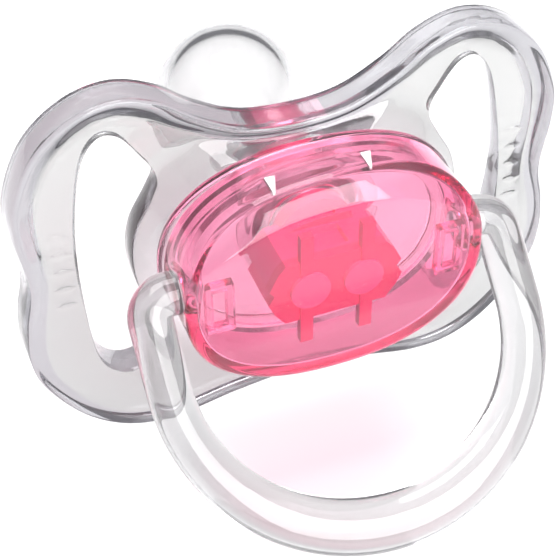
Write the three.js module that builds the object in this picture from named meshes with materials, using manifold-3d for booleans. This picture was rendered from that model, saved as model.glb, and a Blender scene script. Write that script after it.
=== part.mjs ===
// A baby's pacifier in millimetres: a clear butterfly shield with two air openings, a hollow
// silicone teat behind it, and an oval pink knob in front that carries a swinging ring.
//
// X is the width, +Y runs towards the teat and +Z is up. The sub-parts are drawn about the
// shield's front plane (y = 0, front is -Y) and the hub's centre (z = 0). The outer group then
// moves everything so that the origin is the middle of the cover's flat front face.

import * as THREE from 'three';
import { mergeVertices } from 'three/addons/utils/BufferGeometryUtils.js';
import Module from 'manifold-3d';

const wasm = await Module();
wasm.setup();

// ---------------------------------------------------------------- driving dimensions

const GAP = 0.3;                  // clearance between neighbouring pieces
const MARGIN = 1;                 // how far a cutter runs past the faces it cuts
const SLAB_REACH = 60;            // wider than any slab
const OVAL_POWER = 2.3;           // superellipse power of the hub, base and cover
const OVAL_STEPS = 48;            // sides of an oval
const ROUND_STEPS = 24;           // sides of a round hole, boss or pin
const TEAT_STEPS = 36;            // sides of the teat
const BULB_STEPS = 10;            // steps along the bulb's profile
const EDGE_STEPS = 3;             // steps round a slab's rounded edge
const ARC_STEPS = 16;             // steps along each curve of the ring
const RING_EDGE_STEPS = 2;        // steps round the ring's edges

// Shield
const RIM_BACK = 3.05;            // the rim runs from y = 0 to here
const RIM_WIDTH = 1.9;
const PLATE_FRONT = 0.5;
const PLATE_BACK = 2.5;
const HUB_FRONT = -1.3;
const HUB_HALF = [13.7, 9.4];     // half width and half height of the raised hub
const OUTLINE_STEPS = 96;
const CUTOUT_STEPS = 40;

// Right half of the shield's outline, from the nose notch round to the chin notch (x, z)
const SHIELD_HALF = [
  [0, 9.7], [4.4, 10.2], [8.2, 12.05], [11.2, 14.15], [14.6, 15.2], [18.2, 14.35],
  [21.4, 11.65], [23.25, 7.45], [23.5, 4.05], [22.95, -0.75], [23.7, -4.55],
  [24.05, -8.15], [23.2, -11.8], [20.2, -16.25], [16.4, -18.95], [12, -19.65],
  [6, -18.55], [0, -17.95],
];

// Right air opening: outer side upwards, round top, the corner by the hub, and the hub side down
const CUTOUT = [
  [18.55, -8.05], [18.95, -2.15], [18.75, 3.25], [17.7, 9.05], [16.2, 11.45], [14.5, 11.25],
  [12.9, 9.05], [11.9, 7.15], [12.6, 5.4], [14.1, 2.65], [14.6, -0.45], [14.1, -3.9],
  [13.0, -6.4], [12.6, -9.1], [13.6, -11.7], [15.8, -12.4], [17.7, -11.0],
];

// Teat, turned about an axis parallel to Y
const TEAT_HEIGHT = 1.3;          // height of the teat's axis above the hub's centre
const TEAT_FLANGE_RADIUS = 6.2;
const TEAT_FLANGE_FRONT = -1.25;
const TEAT_FLANGE_BACK = -0.4;
const TEAT_NECK_RADIUS = 4.5;
const TEAT_WALL = 1.0;
const BULB_CENTRE = 17.6;
const BULB_RADIUS = 6.75;
const BULB_START = -0.32 * Math.PI; // where the bulb's arc takes over from the neck
const NECK_END = 7;               // where the straight neck starts to swell into the bulb
const HUB_HOLE_RADIUS = TEAT_NECK_RADIUS + GAP;
const HUB_RECESS_RADIUS = TEAT_FLANGE_RADIUS + GAP;
const HUB_RECESS_FLOOR = TEAT_FLANGE_BACK + GAP;

// Knob: a base with a flange, and the cover that snaps onto it
const BASE_BACK = HUB_FRONT - GAP;
const BASE_FRONT = BASE_BACK - 0.9;
const BASE_HALF = [13.1, 9.4];
const BASE_WALL_FRONT = -3.9;     // a low wall inside the cover locates it
const BASE_WALL = 0.9;
const COVER_FACE = -9.0;
const COVER_BACK = BASE_FRONT - GAP;
const COVER_HALF = [12.75, 9.55];
const COVER_WALL = 1.2;
const FACE_WALL = 0.9;
const COVER_ROUND = 1.6;          // rounding between the cover's side and its front face
const INNER_ROUND = 0.8;
const SOCKET_X = 9.9;
const SOCKET_HALF = [1.15, 2.35]; // latch sockets: half width and half height outside
const SOCKET_WALL = 0.55;
const SOCKET_BACK = -7.1;         // free end of the latch sockets inside the cover
const CATCH_X = 3.95;             // two small wedges on the cover's top wall
const CATCH_WIDTHS = [0.9, 0.2];  // at the back end and at the front end
const CATCH_ENDS = [-6.75, -4.85];
const CATCH_RISE = 0.1;

// Teat plug: a stub inside the teat's neck, a flange on the base and a block inside the knob
// whose front carries two round bosses on two long ribs
const STUB_RADIUS = TEAT_NECK_RADIUS - TEAT_WALL - GAP;
const STUB_BACK = 5;
const PLUG_BACK = BASE_FRONT - GAP;
const PLUG_FLANGE = 0.8;
const PLUG_FLANGE_HALF = [6.6, 5.2];
const BOSS_FRONT = COVER_FACE + FACE_WALL + GAP;
const RIB_FRONT = BOSS_FRONT + 0.15;
const BLOCK_FRONT = BOSS_FRONT + 0.35;
const BOSS_X = 2.3;
const BOSS_Z = -0.65;
const BOSS_RADIUS = 1.7;
const RIB_X = 2.6;
const RIB_HALF_WIDTH = 0.55;
const RIB_DEPTH = 0.9;
const RIB_ENDS = [-6.05, 4.8];
const POCKET_HALF_WIDTH = 1.55;   // a pocket in the block's top
const POCKET_FRONT = BLOCK_FRONT + 1.2;
const POCKET_FLOOR = 1.6;

// Right side of the block's outline, downwards (x, z)
const BLOCK_SIDE = [
  [4.3, 2.2], [4.95, 1.5], [5.7, 0], [5.3, -0.55], [5.8, -1.4], [5.3, -2.5], [4.4, -3.7],
];

// Ring, drawn in its own plane: v is 0 on the pivot axis and falls towards the grip
const PIVOT = { y: -5.5, z: 0.45 };
const RING_TILT = 46;             // degrees that the ring hangs forward of the shield's plane
const RING_OUTER = 17.0;          // half width outside
const RING_INNER = 13.4;          // half width inside
const RING_ARC_START = -7.4;      // where the arms turn into the lower arc
const RING_OUTER_BOTTOM = -24.4;
const RING_INNER_BOTTOM = -19.7;
const RING_THICK = 3.6;
const RING_EDGE = 1.1;            // rounding of the ring's edges
const SHOULDER_X = 12.6;          // the inward ends of the arms
const SHOULDER_HALF = 1.85;
const ELBOW = 2.8;                // outer bend of the elbow
const INNER_BEND = 2.85;          // where the inner bend of the elbow ends, below the pivot
const PIN_RADIUS = 1.1;
const PIN_END = 11.1;
const SCOOP_X = 15.0;             // a round hollow in the cover's side takes the shoulder
const SCOOP_RADIUS = 3.5;
const PIN_HOLE_RADIUS = PIN_RADIUS + GAP;

// ---------------------------------------------------------------- solids and outlines

// A closed three.js geometry as a solid that can be joined and cut.
function solid(geometry) {
  const bare = geometry.index ? geometry.toNonIndexed() : geometry.clone();
  bare.deleteAttribute('normal');
  bare.deleteAttribute('uv');
  const merged = mergeVertices(bare, 1e-4);
  return new wasm.Manifold(new wasm.Mesh({
    numProp: 3,
    vertProperties: new Float32Array(merged.attributes.position.array),
    triVerts: new Uint32Array(merged.index.array),
  }));
}

// The solid back as a three.js geometry.
function geometryOf(body) {
  const mesh = body.getMesh();
  const geometry = new THREE.BufferGeometry();
  geometry.setAttribute('position', new THREE.BufferAttribute(mesh.vertProperties, 3));
  geometry.setIndex(new THREE.BufferAttribute(mesh.triVerts, 1));
  geometry.computeVertexNormals();
  return geometry;
}

const join = (bodies) => bodies.reduce((whole, body) => whole.add(body));
const cut = (body, cutters) => cutters.reduce((rest, cutter) => rest.subtract(cutter), body);

// Turns a geometry drawn in x, y with its depth in z so that it stands in x, z with its
// depth along y, ending at yBack.
function standUp(geometry, yBack) {
  return geometry.rotateX(Math.PI / 2).translate(0, yBack, 0);
}

// A flat outline in x, z made solid between two depths.
function slab(shape, yFront, yBack) {
  const geometry = new THREE.ExtrudeGeometry(shape, {
    depth: yBack - yFront, bevelEnabled: false, curveSegments: ROUND_STEPS / 4,
  });
  return solid(standUp(geometry, yBack));
}

// A slab whose front edge is rounded by `round`: the back edge is left sharp.
function roundedSlab(shape, yFront, yBack, round) {
  const geometry = new THREE.ExtrudeGeometry(shape, {
    depth: yBack - yFront - round + MARGIN, bevelEnabled: true, bevelThickness: round,
    bevelSize: round, bevelOffset: -round, bevelSegments: EDGE_STEPS,
  });
  const overrun = 2 * (MARGIN + round);
  const back = new THREE.BoxGeometry(SLAB_REACH, overrun, SLAB_REACH);
  back.translate(0, yBack + overrun / 2, 0);
  return solid(standUp(geometry, yBack + MARGIN)).subtract(solid(back));
}

function block(xMin, xMax, yMin, yMax, zMin, zMax) {
  const geometry = new THREE.BoxGeometry(xMax - xMin, yMax - yMin, zMax - zMin);
  return solid(geometry.translate((xMin + xMax) / 2, (yMin + yMax) / 2, (zMin + zMax) / 2));
}

// A round bar along Y.
function barY(radius, yFront, yBack, x, z) {
  const geometry = new THREE.CylinderGeometry(radius, radius, yBack - yFront, ROUND_STEPS);
  return solid(geometry.translate(x, (yFront + yBack) / 2, z));
}

// A round bar along X at the ring's pivot.
function barX(radius, xMin, xMax) {
  const geometry = new THREE.CylinderGeometry(radius, radius, xMax - xMin, ROUND_STEPS);
  return solid(geometry.rotateZ(Math.PI / 2).translate((xMin + xMax) / 2, PIVOT.y, PIVOT.z));
}

function smoothLoop(points, steps) {
  const knots = points.map(([x, z]) => new THREE.Vector3(x, z, 0));
  const curve = new THREE.CatmullRomCurve3(knots, true, 'catmullrom', 0.5);
  return curve.getPoints(steps).slice(0, -1).map((p) => new THREE.Vector2(p.x, p.y));
}

function mirrored(points) {
  return points.map((p) => new THREE.Vector2(-p.x, p.y)).reverse();
}

// The loop moved inwards by a distance, point by point along its normals. The loop runs
// clockwise, so its inside is on the right.
function inset(points, distance) {
  return points.map((point, i) => {
    const before = points.at(i - 1);
    const after = points[(i + 1) % points.length];
    const along = after.clone().sub(before).normalize();
    return new THREE.Vector2(point.x + along.y * distance, point.y - along.x * distance);
  });
}

function oval([halfWidth, halfHeight]) {
  const points = [];
  for (let i = 0; i < OVAL_STEPS; i += 1) {
    const angle = (2 * Math.PI * i) / OVAL_STEPS;
    const c = Math.cos(angle);
    const s = Math.sin(angle);
    points.push(new THREE.Vector2(
      halfWidth * Math.sign(c) * Math.abs(c) ** (2 / OVAL_POWER),
      halfHeight * Math.sign(s) * Math.abs(s) ** (2 / OVAL_POWER),
    ));
  }
  return new THREE.Shape(points);
}

const shrunk = ([halfWidth, halfHeight], by) => [halfWidth - by, halfHeight - by];

// ---------------------------------------------------------------- sub-parts

// The clear shield: a rim round a thinner plate, a raised oval hub and two air openings.
function shield() {
  const left = SHIELD_HALF.slice(1, -1).reverse().map(([x, z]) => [-x, z]);
  const outline = smoothLoop([...SHIELD_HALF, ...left], OUTLINE_STEPS);
  const rimShape = new THREE.Shape(outline);
  rimShape.holes.push(new THREE.Path(inset(outline, RIM_WIDTH).reverse()));
  const opening = smoothLoop(CUTOUT, CUTOUT_STEPS);
  const cutters = [opening, mirrored(opening)].map(
    (loop) => slab(new THREE.Shape(loop), HUB_FRONT - MARGIN, RIM_BACK + MARGIN),
  );
  cutters.push(barY(HUB_HOLE_RADIUS, HUB_FRONT - MARGIN, RIM_BACK + MARGIN, 0, TEAT_HEIGHT));
  cutters.push(barY(HUB_RECESS_RADIUS, HUB_FRONT - MARGIN, HUB_RECESS_FLOOR, 0, TEAT_HEIGHT));
  const body = join([
    slab(rimShape, 0, RIM_BACK),
    slab(new THREE.Shape(outline), PLATE_FRONT, PLATE_BACK),
    slab(oval(HUB_HALF), HUB_FRONT, PLATE_BACK),
  ]);
  return cut(body, cutters);
}

// Half of the bulb's profile, from the end of the neck to the tip of the teat (radius, y).
function bulbProfile(neckRadius, bulbRadius) {
  const points = [new THREE.Vector2(neckRadius, NECK_END)];
  for (let i = 0; i <= BULB_STEPS; i += 1) {
    const angle = BULB_START + ((Math.PI / 2 - BULB_START) * i) / BULB_STEPS;
    points.push(new THREE.Vector2(
      Math.max(bulbRadius * Math.cos(angle), 0), BULB_CENTRE + bulbRadius * Math.sin(angle),
    ));
  }
  return points;
}

// The hollow silicone teat: flange, neck and round bulb, open at the flange.
function teat() {
  const innerRadius = TEAT_NECK_RADIUS - TEAT_WALL;
  const outside = [
    new THREE.Vector2(TEAT_FLANGE_RADIUS, TEAT_FLANGE_FRONT),
    new THREE.Vector2(TEAT_FLANGE_RADIUS, TEAT_FLANGE_BACK),
    new THREE.Vector2(TEAT_NECK_RADIUS, TEAT_FLANGE_BACK),
    ...bulbProfile(TEAT_NECK_RADIUS, BULB_RADIUS),
  ];
  const inside = [
    new THREE.Vector2(innerRadius, TEAT_FLANGE_FRONT),
    ...bulbProfile(innerRadius, BULB_RADIUS - TEAT_WALL),
  ];
  const profile = [...outside, ...inside.reverse(), outside[0].clone()];
  return solid(new THREE.LatheGeometry(profile, TEAT_STEPS).translate(0, 0, TEAT_HEIGHT));
}

// The knob's base: an oval flange on the hub with a low locating wall inside the cover.
function knobBase() {
  const wallHalf = shrunk(COVER_HALF, COVER_WALL + GAP);
  const body = join([
    slab(oval(BASE_HALF), BASE_FRONT, BASE_BACK),
    slab(oval(wallHalf), BASE_WALL_FRONT, BASE_BACK),
  ]);
  return cut(body, [
    slab(oval(shrunk(wallHalf, BASE_WALL)), BASE_WALL_FRONT - MARGIN, BASE_FRONT),
    barY(STUB_RADIUS + GAP, BASE_WALL_FRONT, BASE_BACK + MARGIN, 0, TEAT_HEIGHT),
  ]);
}

// A wedge that stands a little proud of the cover's top wall, widest at the back.
function topCatch(x) {
  const [wide, narrow] = CATCH_WIDTHS;
  const [front, back] = CATCH_ENDS;
  const outline = new THREE.Shape([
    new THREE.Vector2(x - wide / 2, -back), new THREE.Vector2(x + wide / 2, -back),
    new THREE.Vector2(x + narrow / 2, -front), new THREE.Vector2(x - narrow / 2, -front),
  ]);
  const [halfX, halfZ] = COVER_HALF;
  const top = halfZ * (1 - (Math.abs(x) / halfX) ** OVAL_POWER) ** (1 / OVAL_POWER);
  const geometry = new THREE.ExtrudeGeometry(outline, {
    depth: COVER_WALL / 2 + CATCH_RISE, bevelEnabled: false,
  });
  return solid(geometry.rotateX(Math.PI).translate(0, 0, top + CATCH_RISE));
}

// The translucent cover: a rounded oval shell, open at the back, with two latch sockets, two
// catches on its top wall, and a hole and a round hollow in each side for the ring.
function knobCover() {
  const shell = roundedSlab(oval(COVER_HALF), COVER_FACE, COVER_BACK, COVER_ROUND).subtract(
    roundedSlab(
      oval(shrunk(COVER_HALF, COVER_WALL)), COVER_FACE + FACE_WALL, COVER_BACK + MARGIN,
      INNER_ROUND,
    ),
  );
  const pieces = [shell];
  const cutters = [];
  for (const side of [-1, 1]) {
    const centre = side * SOCKET_X;
    const [halfX, halfZ] = SOCKET_HALF;
    const wall = SOCKET_WALL;
    const socket = block(
      centre - halfX, centre + halfX, COVER_FACE + FACE_WALL / 2, SOCKET_BACK, -halfZ, halfZ,
    ).subtract(block(
      centre - halfX + wall, centre + halfX - wall, COVER_FACE + FACE_WALL,
      SOCKET_BACK + MARGIN, -halfZ + wall, halfZ - wall,
    ));
    pieces.push(socket, topCatch(side * CATCH_X));
    const hollow = new THREE.SphereGeometry(SCOOP_RADIUS, ROUND_STEPS, ROUND_STEPS / 2);
    cutters.push(solid(hollow.translate(side * SCOOP_X, PIVOT.y, PIVOT.z)));
    const pinHole = [side * (PIN_END - GAP), side * (COVER_HALF[0] + MARGIN)];
    cutters.push(barX(PIN_HOLE_RADIUS, Math.min(...pinHole), Math.max(...pinHole)));
  }
  return cut(join(pieces), cutters);
}

// The deep pink plug: the stub fills the teat's neck in the hub, and the block with its bosses
// and ribs shows through the cover.
function teatPlug() {
  const left = BLOCK_SIDE.map(([x, z]) => [-x, z]).reverse();
  const outline = [...BLOCK_SIDE, ...left].map(([x, z]) => new THREE.Vector2(x, z));
  const pieces = [
    slab(new THREE.Shape(outline), BLOCK_FRONT, PLUG_BACK),
    slab(oval(PLUG_FLANGE_HALF), PLUG_BACK - PLUG_FLANGE, PLUG_BACK),
    barY(STUB_RADIUS, PLUG_BACK - PLUG_FLANGE, STUB_BACK, 0, TEAT_HEIGHT),
  ];
  for (const side of [-1, 1]) {
    pieces.push(barY(BOSS_RADIUS, BOSS_FRONT, BLOCK_FRONT + MARGIN, side * BOSS_X, BOSS_Z));
    const centre = side * RIB_X;
    pieces.push(block(
      centre - RIB_HALF_WIDTH, centre + RIB_HALF_WIDTH, RIB_FRONT, RIB_FRONT + RIB_DEPTH,
      ...RIB_ENDS,
    ));
  }
  const pocket = block(
    -POCKET_HALF_WIDTH, POCKET_HALF_WIDTH, POCKET_FRONT, PLUG_BACK - PLUG_FLANGE - GAP,
    POCKET_FLOOR, BLOCK_SIDE[0][1] + MARGIN,
  );
  return cut(join(pieces), [pocket]);
}

// The clear ring: a rounded band with elbows at the top and a pin on each inward end.
function ringHandle() {
  const arcOuter = RING_ARC_START - RING_OUTER_BOTTOM;
  const arcInner = RING_ARC_START - RING_INNER_BOTTOM;
  const band = new THREE.Shape();
  band.moveTo(-SHOULDER_X, SHOULDER_HALF);
  band.lineTo(-RING_OUTER + ELBOW, SHOULDER_HALF);
  band.quadraticCurveTo(-RING_OUTER, SHOULDER_HALF, -RING_OUTER, SHOULDER_HALF - ELBOW);
  band.lineTo(-RING_OUTER, RING_ARC_START);
  band.absellipse(0, RING_ARC_START, RING_OUTER, arcOuter, Math.PI, 2 * Math.PI, false, 0);
  band.lineTo(RING_OUTER, SHOULDER_HALF - ELBOW);
  band.quadraticCurveTo(RING_OUTER, SHOULDER_HALF, RING_OUTER - ELBOW, SHOULDER_HALF);
  band.lineTo(SHOULDER_X, SHOULDER_HALF);
  band.lineTo(SHOULDER_X, -SHOULDER_HALF);
  band.quadraticCurveTo(RING_INNER, -SHOULDER_HALF, RING_INNER, -INNER_BEND);
  band.lineTo(RING_INNER, RING_ARC_START);
  band.absellipse(0, RING_ARC_START, RING_INNER, arcInner, 2 * Math.PI, Math.PI, true, 0);
  band.lineTo(-RING_INNER, -INNER_BEND);
  band.quadraticCurveTo(-RING_INNER, -SHOULDER_HALF, -SHOULDER_X, -SHOULDER_HALF);
  const geometry = new THREE.ExtrudeGeometry(band, {
    depth: RING_THICK - 2 * RING_EDGE, bevelEnabled: true, bevelThickness: RING_EDGE,
    bevelSize: RING_EDGE, bevelOffset: -RING_EDGE, bevelSegments: RING_EDGE_STEPS,
    curveSegments: ARC_STEPS,
  });
  geometry.translate(0, 0, -RING_THICK / 2 + RING_EDGE);
  geometry.rotateX(THREE.MathUtils.degToRad(90 - RING_TILT));
  geometry.translate(0, PIVOT.y, PIVOT.z);
  const root = SHOULDER_X + MARGIN;
  return join([
    solid(geometry), barX(PIN_RADIUS, PIN_END, root), barX(PIN_RADIUS, -root, -PIN_END),
  ]);
}

// ---------------------------------------------------------------- assembly

const CLEAR = { color: 0xe6e7ec, roughness: 0.06, metalness: 0, transparent: true, opacity: 0.4 };
const SILICONE = { color: 0xf2f2ee, roughness: 0.2, metalness: 0, transparent: true, opacity: 0.5 };
const PINK = { color: 0xff7fa6, roughness: 0.1, metalness: 0, transparent: true, opacity: 0.6 };
const DEEP_PINK = { color: 0xfc4f84, roughness: 0.2, metalness: 0 };

const pacifier = new THREE.Group();
pacifier.position.set(0, -COVER_FACE, 0);

function place(name, body, finish) {
  const mesh = new THREE.Mesh(geometryOf(body), new THREE.MeshStandardMaterial(finish));
  mesh.name = name;
  pacifier.add(mesh);
}

place('shield', shield(), CLEAR);
place('teat', teat(), SILICONE);
place('knob_base', knobBase(), PINK);
place('teat_plug', teatPlug(), DEEP_PINK);
place('knob_cover', knobCover(), PINK);
place('ring_handle', ringHandle(), CLEAR);

export default pacifier;
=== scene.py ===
# The finished look of the pacifier: fine meshes in place of the CAD solids, clear and tinted
# plastic, soft light and the camera. Shapes are drawn in millimetres about the shield's front
# plane (y = 0, front is -Y) and the hub's centre (z = 0), then moved into the row frame.
import math

import bmesh
import bpy
import numpy as np
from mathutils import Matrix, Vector
from mathutils.geometry import delaunay_2d_cdt
from mathutils.kdtree import KDTree


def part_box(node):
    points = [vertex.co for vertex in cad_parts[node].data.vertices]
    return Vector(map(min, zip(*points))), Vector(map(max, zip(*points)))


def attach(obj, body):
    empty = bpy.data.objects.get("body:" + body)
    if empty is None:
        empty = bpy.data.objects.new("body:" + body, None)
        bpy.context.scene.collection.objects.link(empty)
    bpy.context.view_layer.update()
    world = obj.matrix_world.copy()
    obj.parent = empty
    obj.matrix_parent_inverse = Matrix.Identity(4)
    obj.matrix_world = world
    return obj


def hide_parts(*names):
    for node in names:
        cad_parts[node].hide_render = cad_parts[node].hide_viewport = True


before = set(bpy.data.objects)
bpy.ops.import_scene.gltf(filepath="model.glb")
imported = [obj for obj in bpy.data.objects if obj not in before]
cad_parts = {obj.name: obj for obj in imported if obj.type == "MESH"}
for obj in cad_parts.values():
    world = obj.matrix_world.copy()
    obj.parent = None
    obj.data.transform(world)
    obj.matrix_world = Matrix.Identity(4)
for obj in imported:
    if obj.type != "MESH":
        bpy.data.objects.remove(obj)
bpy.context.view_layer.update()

MM = 0.001

# ------------------------------------------------------------------ sizes, in millimetres

GAP = 0.3                          # between neighbouring pieces
OVAL_POWER = 2.3                   # of the ovals of the hub and the knob; 2 is an ellipse
FLOOR = -24.1                      # just below the ring where its swing is lowest

# The right half of the shield's outline and its right air opening, as (x, z)
SHIELD_HALF = [
    (0, 9.7), (4.4, 10.2), (8.2, 12.05), (11.2, 14.15), (14.6, 15.2), (18.2, 14.35),
    (21.45, 11.65), (23.4, 7.45), (23.65, 4.05), (23.1, -0.75), (23.8, -4.55),
    (24.05, -8.15), (23.2, -11.8), (20.2, -16.25), (16.4, -18.95), (12, -19.65),
    (6, -18.55), (0, -17.95),
]
CUTOUT = [
    (18.55, -8.05), (18.95, -2.15), (18.75, 3.25), (17.7, 9.05), (16.2, 11.45), (14.5, 11.25),
    (12.9, 9.05), (11.9, 7.15), (12.6, 5.4), (14.1, 2.65), (14.6, -0.45), (14.1, -3.9),
    (13.0, -6.4), (12.6, -9.1), (13.6, -11.7), (15.8, -12.4), (17.7, -11.0),
]
CUTOUT_ROUND = 0.12
RIM_BACK = 3.05
RIM_ROUND = 0.3
RIM_WIDTH = 1.5
RIM_FLARE = 0.28                   # the side wall leans out towards the back edge
FLARE_RANGE = (-13, -3)            # heights between which the flare grows
LIP_LOW, LIP_HIGH = 0.06, 1.1      # how deep the plate lies inside the lip, at bottom and top
LIP_RANGE = (-7, 9)                # heights between which that depth grows
LIP_MIDDLE = 0.38                  # share of that depth left between the lobes
LOBE_RANGE = (6, 13)               # distances from the middle between which it is whole again
LIP_LAND = 0.4
LIP_SLOPE = 1.55                   # width of the lip's slope for each millimetre of its depth
LIP_CORNER = 0.12
PLATE_BACK = 2.3
PLATE_BACK_RANGE = (-9, 3)         # heights between which the plate's back steps in
PLATE_BACK_EDGE = (0.6, 2.3)       # and the distances from the outline
NOTCH_PAINTED_PINK, NOTCH_LOW = (-3.4, 2.3), 8   # where the wall in the nose notch is painted pink, a painted reflection of the pink knob
WALL_FACING, WALL_REACH = 0.7, 0.6 # how a face of the rim's wall is told from the others
HUB_FRONT = -1.3
HUB_HALF = (12.3, 8.1)
HUB_SKIRT, SKIRT_POWER = 4.0, 1.8
HUB_EDGE = (0.9, 2.6)              # distances from the outline between which the hub rises
HUB_LEAST_SLOPE = 0.03
RIB_X, RIB_PITCH, RIB_COUNT = 20.3, 1.65, 5
RIB_HALF = (1.0, 0.36)
RIB_RISE = 0.07
RIB_EDGE = (0.55, 1.0)

# Where the points of the shield's mesh lie: along its edges, beside them and between
OUTLINE_PITCH, CUTOUT_PITCH, GRID_PITCH = 0.34, 0.28, 0.42
GRID_LOW, GRID_HIGH = (-24.5, -20.5), (24.5, 15.6)
EDGE_ROWS = (0.03, 0.1, 0.2, 0.33, 0.48, 0.62, 0.8, 1.0, 1.2, 1.4, 1.6, 1.8, 2.0, 2.2, 2.45)
OPENING_ROWS = EDGE_ROWS[:7]
HUB_ROWS = (-0.35, -0.12, 0.04, 0.2, 0.4, 0.65, 0.95, 1.3, 1.7, 2.1, 2.5, 2.9, 3.3)
HUB_CLEAR_OF_OUTLINE, HUB_CLEAR_OF_OPENINGS = 2.6, 0.95
HUB_POINTS, HUB_POINTS_LESS = 190, 10      # in a row, and how many fewer for each mm outwards
HOLE_POINTS = 110
ROW_CLEARANCE = 0.93
GRID_CLEAR_OF_OUTLINE, GRID_CLEAR_OF_OPENINGS, GRID_CLEAR_OF_ROWS = 0.2, 0.15, 0.3
RIB_ROWS = ((0, 1), (0.3, 6), (0.55, 18), (0.7, 22), (0.85, 24), (1.0, 26))

TEAT_HEIGHT = 1.3                  # of the teat's axis above the hub's centre
TEAT_NECK = 4.5
TEAT_WALL = 1.0
TEAT_FLANGE = [(6.2, -1.22), (6.2, -0.45), (4.75, -0.42), (4.5, -0.2)]
TEAT_BACK = -1.25
NECK_START, NECK_END = 2.6, 5.0
NECK_REACH, BULB_REACH = 2.6, 3.2  # how far the neck and the bulb run on into the curve between
BULB_CENTRE = 17.6
BULB_RADIUS = 6.75
BULB_START = math.radians(-54)

BASE_BACK = -1.6
BASE_FRONT = -2.5
BASE_HALF = (13.1, 9.4)
BASE_EDGE, BASE_FACE_INSET = 0.3, 3
BASE_WALL = 0.9
BASE_WALL_FRONT, BASE_WALL_EDGE = -3.9, 0.1

COVER_BACK = -2.8
COVER_FACE = -9.0
COVER_HALF = (12.75, 9.55)
COVER_WALL = 1.0
FACE_WALL = 1.0
COVER_CROWN, INNER_CROWN = 0.18, 0.15
COVER_EDGE_TOP = [(38, 1.6), (27, 4.6), (25, 1.5)]     # arcs of (degrees, radius), side to face
COVER_EDGE_LOW = [(38, 0.7), (27, 0.8), (25, 1.0)]
INNER_EDGE_TOP = [(38, 0.6), (27, 3.6), (25, 0.5)]
INNER_EDGE_LOW = [(38, 0.3), (27, 0.3), (25, 0.4)]
EDGE_TOP_RANGE = (0.35, 0.95)      # how far the wall faces up where the edge turns to the top's
FACE_RINGS = (0.93, 0.85, 0.75, 0.6, 0.45, 0.3, 0.15, 0.05)
SCOOP_X, SCOOP_RADIUS, SCOOP_WALL = 15.2, 3.3, 0.8
PIN_HOLE_RADIUS = 1.35
PIN_HOLE_ENDS = (10.9, 14)
SOCKET_X, SOCKET_HALF, SOCKET_WALL = 9.9, (1.15, 2.35), 0.55
SOCKET_BACK = -7.1
SOCKET_SINK, SOCKET_FLOOR = 0.4, 0.2
CATCH_X, CATCH_SHIFT = 3.95, -0.6
CATCH_BACK, CATCH_FRONT = -5.1, -7.0
CATCH_WIDE, CATCH_NARROW = 0.9, 0.2
CATCH_SINK, CATCH_RISE = 0.3, 0.05

PLUG_SIDE = [(4.3, 2.2), (4.95, 1.5), (5.7, 0.0), (5.3, -0.55), (5.8, -1.4), (5.3, -2.5),
             (4.4, -3.7)]
PLUG_FACE, PLUG_PLATE = -7.45, 0.9
PLUG_BACK = BASE_FRONT - 0.2
STUB_RADIUS = 3.2
STUB_ENDS = (BASE_FRONT - 1.1, 5.0)
PLUG_RIB_X, PLUG_RIB_HALF, PLUG_RIB_ENDS = 2.6, 0.55, (-6.05, 4.8)
PLUG_RIB_RISE, PLUG_RIB_SINK = 0.2, 0.5
POCKET_HALF, POCKET_ENDS = 1.55, (1.6, 3)
POCKET_WALLS = (0.3, 1.2)          # left between the pocket and the body's front and back
BOSS_X, BOSS_Z, BOSS_RADIUS = 2.3, -0.65, 1.7
BOSS_RISE, BOSS_SINK = 0.35, 0.1

PIVOT_Y, PIVOT_Z = -5.5, 0.45
RING_TILT = math.radians(46)
RING_OUTER, RING_INNER = 17.0, 13.4
RING_ARC_START = -7.4
RING_OUTER_BOTTOM, RING_INNER_BOTTOM = -24.4, -19.7
RING_THICK, RING_POWER = 3.6, 2.25
RING_BEND = 1.9
SHOULDER_X = 12.6
SHOULDER_ROWS = ((1.0, 0.0), (0.93, 0.16), (0.8, 0.22))    # (size, step) of its rounded end
PIN_RADIUS, PIN_START, PIN_END = 1.1, 0.22, 11.1
PIN_TIP, PIN_TIP_SIZE = 0.18, 0.8

# ------------------------------------------------------------------ colours, light and camera

CLEAR_SHADOW = (0.985, 0.985, 0.985)
PINK_SHADOW = (0.995, 0.99, 0.992)
PLUG_SHADOW = (1.0, 0.8, 0.86)
RING_SMOKE = ((0.32, 0.31, 0.34), 150)                 # colour and density inside the plastic
SHIELD_SMOKE = ((0.32, 0.31, 0.36), 65)
SILICONE_SMOKE = ((0.30, 0.30, 0.33), 130)
PINK_GLASS = (0.997, 0.50, 0.70)
# painted light: the oval behind the knob where the shield's tint is lightened
MIDDLE_HALF, MIDDLE_DROP, MIDDLE_FADE = (12.3, 10), 0.3, (0.95, 1.25)
CLOUD_SCALE, WAVE_SCALE, WAVE_DEPTH = 90, 270, 0.0005
TINT_RANGE, GLOSS_RANGE, FAINT = (0.3, 0.7), (0.35, 0.65), 0.985
SKY_LOW, SKY_HIGH = (0.13, 0.13, 0.15, 1), (0.85, 0.85, 0.86, 1)
SKY_STOPS = (0.0, 0.45, 0.62)
CAMERA_PLACE = (-0.03269, -0.07175, 0.06966)
CAMERA_AIM = (0.26827, 0.70165, -0.66008)
CAMERA_ROLL = math.radians(-0.47)
CAMERA_LENS = 85.3

# ------------------------------------------------------------------ mesh helpers

BOX_FACES = [(0, 2, 3, 1), (4, 5, 7, 6), (0, 1, 5, 4), (2, 6, 7, 3), (0, 4, 6, 2), (1, 3, 7, 5)]
FRONT_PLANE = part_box("shield")[1].y / MM - RIM_BACK


def place(points):
    """Points about the shield's front plane, in mm, as points of the row frame in metres."""
    points = np.asarray(points, float)
    return (points + np.array([0, FRONT_PLANE, 0])) * MM


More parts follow.
